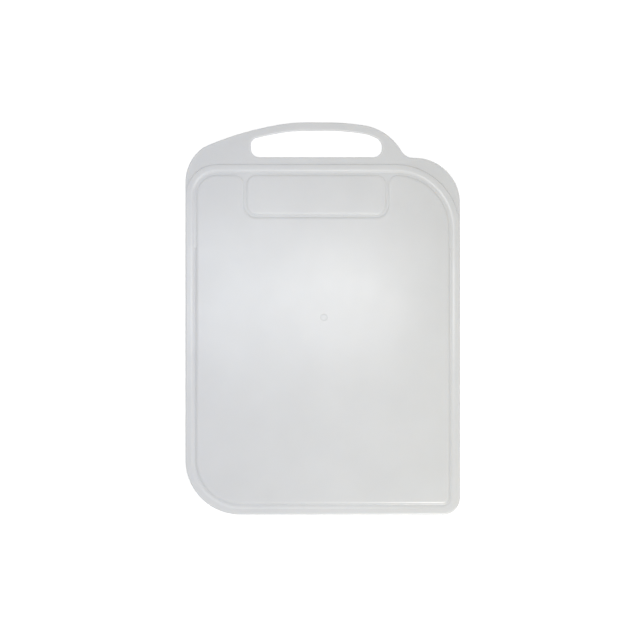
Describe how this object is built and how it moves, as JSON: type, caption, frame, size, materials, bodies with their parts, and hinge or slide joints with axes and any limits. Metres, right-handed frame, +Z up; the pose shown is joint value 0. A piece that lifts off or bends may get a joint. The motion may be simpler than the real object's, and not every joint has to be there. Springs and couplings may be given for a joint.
{
  "type": "cutting board",
  "caption": "Moulded plastic cutting board with a juice groove, a grooved panel, and a thinner handle flange with a hand slot.",
  "frame": {"origin": "centre of the bounding box's underside, which is the face that the board rests on", "axes": "+X to the right seen from above with the handle away from the viewer, +Y towards the handle, +Z up out of the cutting surface"},
  "size_m": [0.28, 0.4, 0.008],
  "materials": {
    "board_plastic": "satin moulded polypropylene in natural white"
  },
  "bodies": {
    "root": {"board": "board_plastic"}
  },
  "joints": []
}
